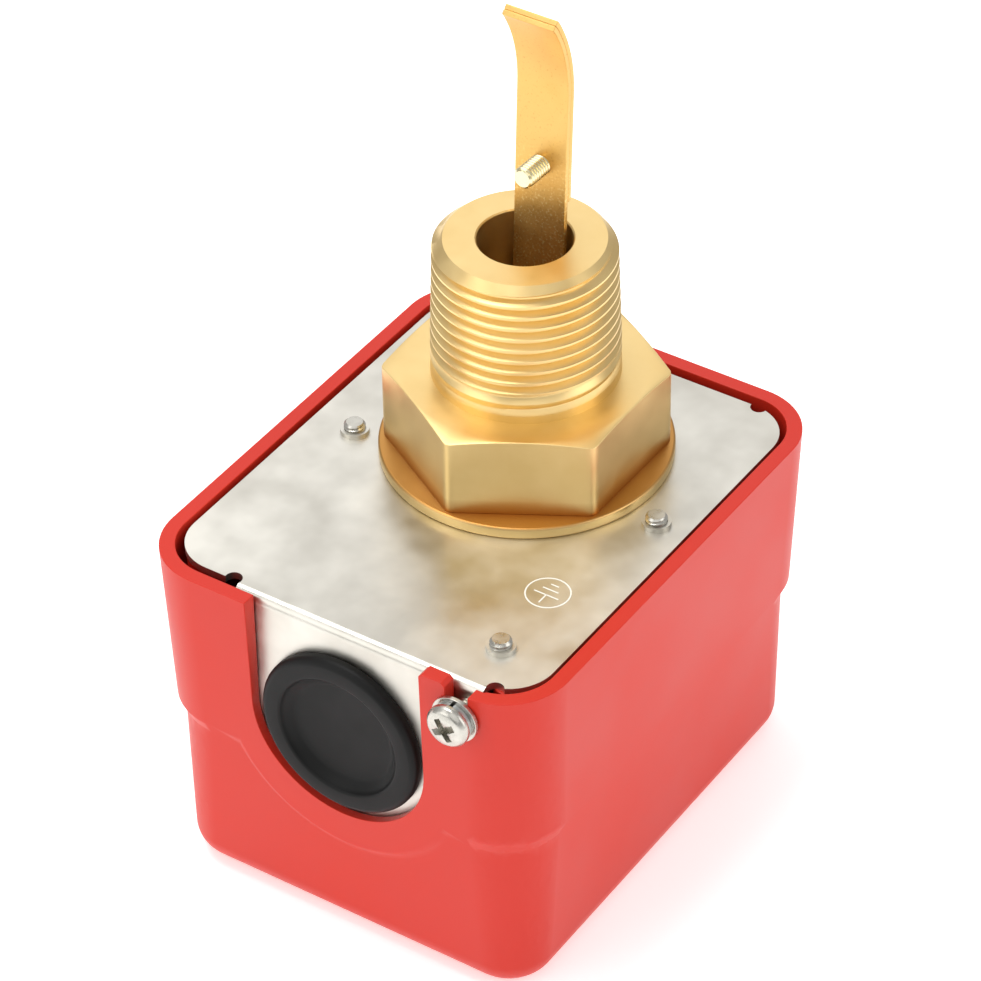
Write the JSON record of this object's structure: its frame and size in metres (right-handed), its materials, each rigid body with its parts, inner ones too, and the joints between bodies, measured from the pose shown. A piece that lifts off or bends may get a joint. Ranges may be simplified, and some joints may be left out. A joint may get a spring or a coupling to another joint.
{
  "type": "paddle flow switch",
  "caption": "Flow switch: taper-threaded hexagonal pipe fitting with a tilting brass paddle strip, on a sheet plate over a deep moulded cover with a plugged cable entry.",
  "frame": {"origin": "on the pipe fitting's axis, in the plane of the cover's flat outer face, on which the switch stands", "axes": "+Z along the fitting's axis, out of the pipe thread towards the paddle; -X towards the cable entry and the cover screw; Y across"},
  "size_m": [0.1053, 0.0832, 0.1618],
  "materials": {
    "cover_abs": "moulded ABS, satin sides and a bright rim",
    "zinc_plate": "zinc-plated sheet steel, faintly mottled",
    "fitting_brass": "machined brass, bright",
    "zinc_screw": "bright zinc-plated steel",
    "plug_rubber": "moulded black rubber",
    "steel": "plain steel",
    "switch_phenolic": "moulded phenolic, matt",
    "terminal_brass": "stamped brass, nickel-flashed",
    "paddle_brass": "rolled brass strip, satin",
    "stem_brass": "machined brass",
    "bellows_bronze": "phosphor bronze, satin",
    "button_plastic": "moulded red nylon"
  },
  "bodies": {
    "housing": {"cover": "cover_abs", "base_plate": "zinc_plate", "pipe_fitting": "fitting_brass", "fitting_screws": "zinc_screw", "cable_plug": "plug_rubber", "cover_screw": "zinc_screw", "cover_spring_washer": "zinc_screw", "cover_flat_washer": "zinc_screw", "pivot_pin": "steel", "mechanism_frame": "zinc_plate", "frame_screws": "zinc_screw", "microswitch_case": "switch_phenolic", "microswitch_terminals": "terminal_brass", "terminal_screws": "zinc_screw", "microswitch_screws": "zinc_screw", "earth_screw": "zinc_screw", "earth_washer": "zinc_screw", "range_spring": "steel"},
    "paddle_lever": {"paddle_arm": "paddle_brass", "paddle_blade": "paddle_brass", "paddle_screw": "zinc_screw", "lever_stem": "stem_brass", "bellows": "bellows_bronze"},
    "switch_button": {"microswitch_button": "button_plastic"},
    "range_screw": {"range_screw": "zinc_screw"},
    "range_nut": {"range_nut": "stem_brass"}
  },
  "joints": [
    {"name": "paddle_tilt", "type": "hinge", "parent": "housing", "child": "paddle_lever", "pos_m": [0, 0, 0.062], "axis": [0, -1, 0], "range_deg": [0, 6], "stiffness_Nm_per_rad": 0.6, "springref_deg": -6.88, "deforming": ["range_spring"]},
    {"name": "button_travel", "type": "slide", "parent": "housing", "child": "switch_button", "axis": [1, 0, 0], "range_m": [0, 0.0016]},
    {"name": "range_screw_turn", "type": "hinge", "parent": "housing", "child": "range_screw", "pos_m": [0, 0, 0.04], "axis": [1, 0, 0], "range_deg": [-720, 720]},
    {"name": "range_nut_travel", "type": "slide", "parent": "housing", "child": "range_nut", "axis": [1, 0, 0], "range_m": [-0.00145, 0.00145]}
  ],
  "couplings": [
    {"joint": "button_travel", "follows": "paddle_tilt", "m_per_rad": 0.013},
    {"joint": "range_nut_travel", "follows": "range_screw_turn", "m_per_rad": 0.00011141}
  ]
}
